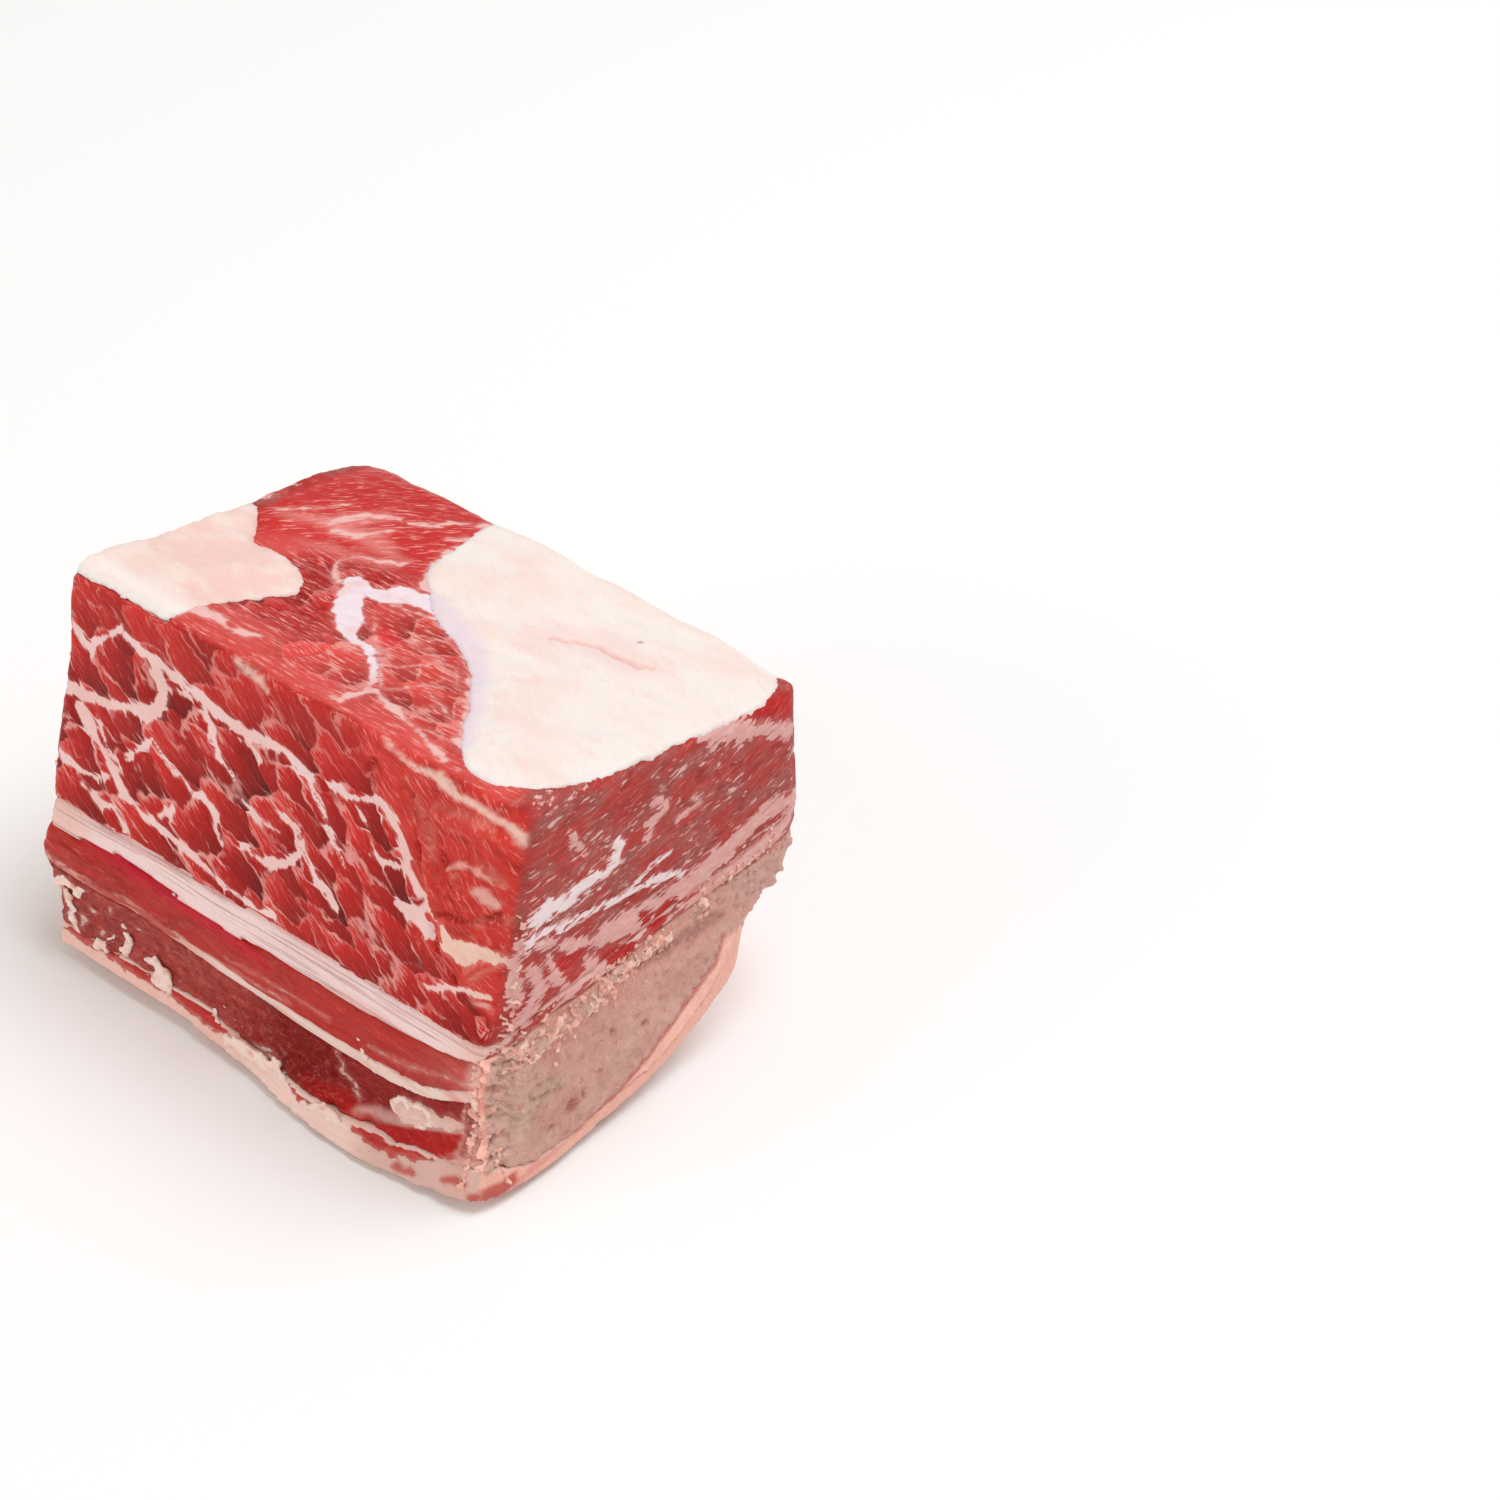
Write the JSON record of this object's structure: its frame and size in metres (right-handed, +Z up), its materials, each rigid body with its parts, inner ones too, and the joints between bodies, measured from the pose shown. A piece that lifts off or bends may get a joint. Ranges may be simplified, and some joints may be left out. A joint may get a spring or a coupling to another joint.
{
  "type": "raw beef short rib",
  "caption": "Sawn block of raw beef short rib: marbled lean on a seam of fat, lying on its rib bone and membrane, with rib lean at the cut side and fat patches on top.",
  "frame": {"origin": "on the table, under the centre of the whole piece's box", "axes": "+X along the rib bone towards the sawn face that shows in the picture, +Y away from the layered knife cut, +Z up"},
  "size_m": [0.0798, 0.0642, 0.0565],
  "materials": {
    "lean": "moist red muscle with pale marbling",
    "rib_lean": "moist dark red muscle",
    "fat": "moist pinkish white fat",
    "top_fat": "smooth creamy white fat",
    "bone": "sawn, finely porous",
    "membrane": "satin salmon pink"
  },
  "bodies": {
    "root": {"marbled_lean": "lean", "seam_fat": "fat", "upper_rib_lean": "rib_lean", "rib_fat_line": "fat", "lower_rib_lean": "rib_lean", "rib_bone": "bone", "rib_membrane": "membrane", "fat_cap": "top_fat", "fat_patch": "top_fat"}
  },
  "joints": []
}
